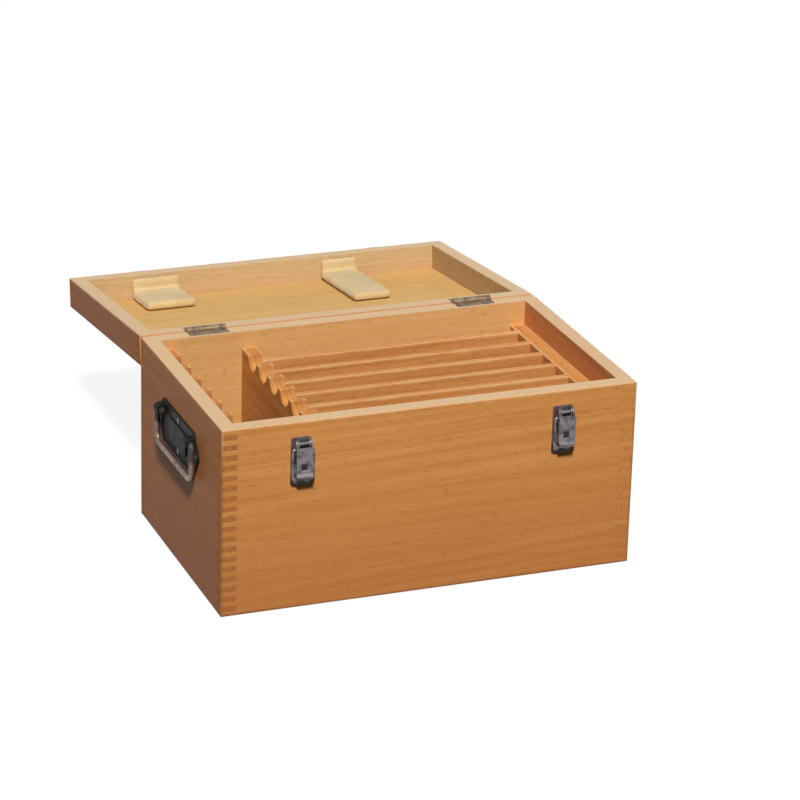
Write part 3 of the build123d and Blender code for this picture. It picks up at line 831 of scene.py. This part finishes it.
def enamel():
    """Stoved enamel over steel: a little uneven and dusty."""
    finish = Finish(bpy.data.materials.new("enamel"))
    place = finish.node("TexCoord", output="Object")
    clouds = noise(finish, place, detail=3.0, scale=1 / ENAMEL_CLOUDS).rise(*ENAMEL_RISE)
    peel = noise(finish, place, scale=1 / ENAMEL_PEEL)
    sockets = {
        "Base Color": finish.mix(clouds, ENAMEL_DARK, ENAMEL_PALE),
        "Roughness": ENAMEL_ROUGHNESS + clouds * DUST_ROUGHER,
        "Specular IOR Level": ENAMEL_SHEEN,
        "Normal": finish.node("Bump", None, {"Height": peel} | PEEL_BUMP),
    }
    return surface(finish, sockets)


BAIL_PALE = paint(136, 114, 104)
BAIL_DARK = paint(70, 54, 48)
BAIL_ROUGHNESS = 0.34
# Painted shade: the bail darkens above this height, on its arms near the lugs.
BAIL_ARM_SHADE = (-Z_LINE, -0.098, -0.1035)  # its arms, near the lugs

enamel_finish = enamel()
bail_plate = plate("bail_plate", BAIL_PALE, BAIL_DARK, BAIL_ROUGHNESS, tarnish=0.6, darkened=BAIL_ARM_SHADE)
for side in ("left", "right"):
    dress(f"handle_{side}_plate", enamel_finish, "case_body", ENAMEL_EASE)
    dress(f"handle_{side}_bail", bail_plate, f"handle_{side}_bail")

# Screws
# Slotted countersunk wood screws of plated steel, with slightly domed heads and tapered points.
# Each is driven until its head lies flush, and its slot stops at its own turn.

SCREW_PALE = paint(132, 126, 120)
SCREW_DARK = paint(62, 54, 48)
SCREW_ROUGHNESS = 0.36
SCREW_DOME = 0.0001
DOME_HOLD = 8  # the higher, the less the dome lifts what lies under the head's top
SCREW_SLOT = 0.22  # its width and depth, as shares of the head's radius
CUTTER_LENGTH = 3  # in radii of the head
SCREW_NECK = 0.52  # the shank's radius, as a share of the head's
SCREW_POINT = 0.3  # of the length, where the taper is
SCREW_TIP = 0.02  # of the radius, left at the very point
SCREW_SIDES = 32
SCREW_RINGS = 28
HEAD_RINGS = 6
SCREW_SEED = 7
PLACE_DIGITS = 5  # in metres, so that screws are put in order by their real places


class Recipe(Wiring):
    """The nodes of a geometry tree with named inputs."""

    def __init__(self, name, sizes):
        super().__init__(bpy.data.node_groups.new(name, "GeometryNodeTree"))
        self.tree.interface.new_socket("Geometry", in_out="INPUT", socket_type="NodeSocketGeometry")
        for label in sizes:
            self.tree.interface.new_socket(label, in_out="INPUT", socket_type="NodeSocketFloat")
        self.tree.interface.new_socket("Geometry", in_out="OUTPUT", socket_type="NodeSocketGeometry")
        self.given = self.tree.nodes.new("NodeGroupInput")

    def size(self, label):
        return Wire(self, self.given.outputs[label])

    def end(self, geometry, material):
        """Ends the tree in real geometry that wears a material."""
        real = self.node("GeometryNodeRealizeInstances", None, {0: geometry})
        dressed = self.node("GeometryNodeSetMaterial", None, {"Geometry": real, "Material": material})
        self.node("NodeGroupOutput", None, {"Geometry": dressed})
        return self.tree


def screw_recipe(material):
    """A screw on each point, its head flush with the point and square to the point's outward line."""
    make = Recipe("screws", ["Head radius", "Length"])
    head, length = make.size("Head radius"), make.size("Length")
    sizes = {"Vertices": SCREW_SIDES, "Side Segments": SCREW_RINGS, "Fill Segments": HEAD_RINGS}
    rod = make.node(
        "GeometryNodeMeshCylinder", {"fill_type": "TRIANGLE_FAN"}, sizes | {"Depth": length, "Radius": 1.0}
    )
    spot = make.node("GeometryNodeInputPosition")
    x, y, z = [make.node("SeparateXYZ", None, {0: spot}, output=axis) for axis in "XYZ"]
    depth = length / 2 - z
    flare = make.node("Clamp", None, {"Value": 1 - depth / (head * (1 - SCREW_NECK))})
    taper = make.node("Clamp", None, {"Value": (length - depth) / (length * SCREW_POINT) + SCREW_TIP})
    radius = head * (SCREW_NECK + flare * (1 - SCREW_NECK)) * taper
    across = (x * x + y * y) ** 0.5
    dome = (1 - across * across) * SCREW_DOME * flare ** DOME_HOLD
    shaped = make.node("CombineXYZ", None, {"X": x * radius, "Y": y * radius, "Z": dome - depth})
    screw = make.node("GeometryNodeSetPosition", None, {"Geometry": rod, "Position": shaped})
    cutter_sizes = {"X": head * CUTTER_LENGTH, "Y": head * SCREW_SLOT, "Z": head * SCREW_SLOT * 2}
    cutter = make.node("GeometryNodeMeshCube", None, {"Size": make.node("CombineXYZ", None, cutter_sizes)})
    slotted = make.node(
        "GeometryNodeMeshBoolean", {"operation": "DIFFERENCE", "solver": "EXACT"}, {0: screw, 1: cutter}
    )
    outward = make.node("GeometryNodeInputNamedAttribute", {"data_type": "FLOAT_VECTOR"}, {"Name": "outward"})
    aimed = make.node("FunctionNodeAlignRotationToVector", {"axis": "Z"}, {"Vector": outward})
    turns = {2: 0.0, 3: math.pi, "Seed": SCREW_SEED}
    turn = make.node("FunctionNodeRandomValue", {"data_type": "FLOAT"}, turns, output=1)
    spin = make.node("FunctionNodeAxisAngleToRotation", None, {"Axis": (0, 0, 1), "Angle": turn})
    turned = make.node("FunctionNodeRotateRotation", {"rotation_space": "LOCAL"}, {0: aimed, 1: spin})
    inputs = {"Points": make.size("Geometry"), "Instance": slotted, "Rotation": turned}
    return make.end(make.node("GeometryNodeInstanceOnPoints", None, inputs), material)


def loose_parts(shape):
    """The separate solids of a shape, each as a list of points, in the order of the shape's own points."""
    reached = set()
    for first in shape.verts:
        if first in reached:
            continue
        reached.add(first)
        found = [first]
        for vertex in found:
            near = [edge.other_vert(vertex) for edge in vertex.link_edges]
            new = [other for other in near if other not in reached]
            reached.update(new)
            found += new
        yield [vertex.co.copy() for vertex in found]


def drive_screws(node, outward, body, recipe, finish):
    """Puts a screw where each one of a node's screws is, and as large. They are all alike."""
    shape = merged(node)
    places = []
    for points in loose_parts(shape):
        heights = [point.dot(outward) for point in points]
        top = [point for point, height in zip(points, heights) if height > max(heights) - SMALLEST_GAP]
        centre = sum(top, Vector()) / len(top)
        places.append(centre)
        head = max((point - centre).length for point in top)
        length = max(heights) - min(heights)
    shape.free()
    places.sort(key=lambda place: [round(spot, PLACE_DIGITS) for spot in place])
    mesh = bpy.data.meshes.new(node)
    mesh.from_pydata(places, [], [])
    marks = mesh.attributes.new("outward", "FLOAT_VECTOR", "POINT")
    for mark in marks.data:
        mark.vector = outward
    maker = add(node, mesh)
    modifier = maker.modifiers.new("screws", "NODES")
    modifier.node_group = recipe
    sizes = {"Head radius": head, "Length": length}
    for item in recipe.interface.items_tree:
        if item.name in sizes:
            modifier[item.identifier] = sizes[item.name]
    made = worked(maker)
    bpy.data.objects.remove(maker)
    show(f"{node}_set", made, finish, body, node)


screw_plate = plate("screw_plate", SCREW_PALE, SCREW_DARK, SCREW_ROUGHNESS, tarnish=0.6)
screws = screw_recipe(screw_plate)
for side, sign in (("left", -1), ("right", 1)):
    drive_screws(f"hinge_{side}_body_screws", Z_LINE, "case_body", screws, screw_plate)
    drive_screws(f"hinge_{side}_lid_screws", -LID_Z_LINE, "lid", screws, screw_plate)
    drive_screws(f"latch_{side}_base_screws", -Y_LINE, "case_body", screws, screw_plate)
    drive_screws(f"latch_{side}_strike_screws", -LID_Y_LINE, "lid", screws, screw_plate)
    drive_screws(f"handle_{side}_screws", sign * X_LINE, "case_body", screws, screw_plate)
